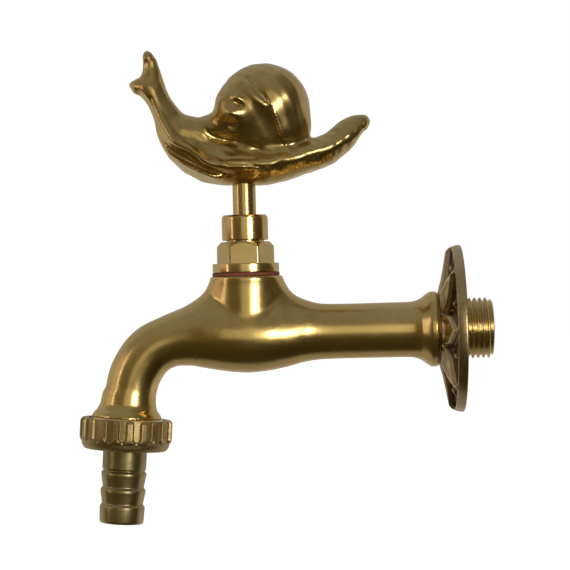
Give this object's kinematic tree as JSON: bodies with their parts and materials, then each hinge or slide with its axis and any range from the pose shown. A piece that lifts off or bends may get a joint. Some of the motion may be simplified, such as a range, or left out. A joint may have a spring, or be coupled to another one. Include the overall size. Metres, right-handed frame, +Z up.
{
  "type": "hose bib",
  "caption": "Wall-mounted brass garden tap with a swan-neck spout, a cast snail-shaped turning handle, a domed pierced wall rosette and a union nut with a barbed hose tail.",
  "frame": {"origin": "on the inlet axis, at the plane of the wall (back face of the wall rosette)", "axes": "+X along the inlet into the wall, +Z up, the spout reaches along -X; the XZ plane is the body's plane of symmetry"},
  "size_m": [0.1435, 0.0578, 0.1638],
  "materials": {
    "body_brass": "satin brushed cast brass",
    "machined_brass": "turned, fine machining lines",
    "cast_brass": "matt, sand-cast grain",
    "antique_brass": "antique patina, rubbed bright on raised edges",
    "handle_brass": "polished cast brass, darker in the hollows",
    "fibre": "red vulcanised fibre",
    "rubber": "matt black rubber",
    "packing": "graphited packing",
    "screw_steel": "plain steel"
  },
  "bodies": {
    "tap": {"tap_body": "body_brass", "bonnet": "machined_brass", "bonnet_gasket": "fibre", "gland_nut": "machined_brass", "gland_follower": "machined_brass", "packing_ring_upper": "packing", "packing_ring_lower": "packing"},
    "rosette": {"wall_flange": "antique_brass"},
    "jumper_valve": {"jumper": "machined_brass", "valve_washer": "rubber", "washer_nut": "machined_brass"},
    "spindle_and_handle": {"spindle": "machined_brass", "snail_handle": "handle_brass", "handle_set_screw": "screw_steel"},
    "hose_connector": {"hose_tail": "body_brass", "hose_washer": "rubber"},
    "nut": {"union_nut": "cast_brass"}
  },
  "joints": [
    {"name": "valve_lift", "type": "slide", "parent": "tap", "child": "jumper_valve", "axis": [0, 0, 1], "range_m": [0, 0.006]},
    {"name": "handle_turn", "type": "hinge", "parent": "jumper_valve", "child": "spindle_and_handle", "pos_m": [-0.0742, 0, 0], "axis": [0, 0, 1], "range_deg": [0, 1080]},
    {"name": "hose_tail_slide", "type": "slide", "parent": "tap", "child": "hose_connector", "axis": [-0.075, 0, -0.9972], "range_m": [0, 0.00545]},
    {"name": "union_nut_turn", "type": "hinge", "parent": "hose_connector", "child": "nut", "pos_m": [-0.11685, 0, -0.03157], "axis": [-0.075, 0, -0.9972], "range_deg": [0, 1080]},
    {"name": "rosette_turn", "type": "hinge", "parent": "tap", "child": "rosette", "pos_m": [0, 0, 0], "axis": [1, 0, 0], "continuous": true}
  ],
  "couplings": [
    {"joint": "valve_lift", "follows": "handle_turn", "m_per_rad": 0.00031831},
    {"joint": "hose_tail_slide", "follows": "union_nut_turn", "m_per_rad": 0.00028871}
  ]
}
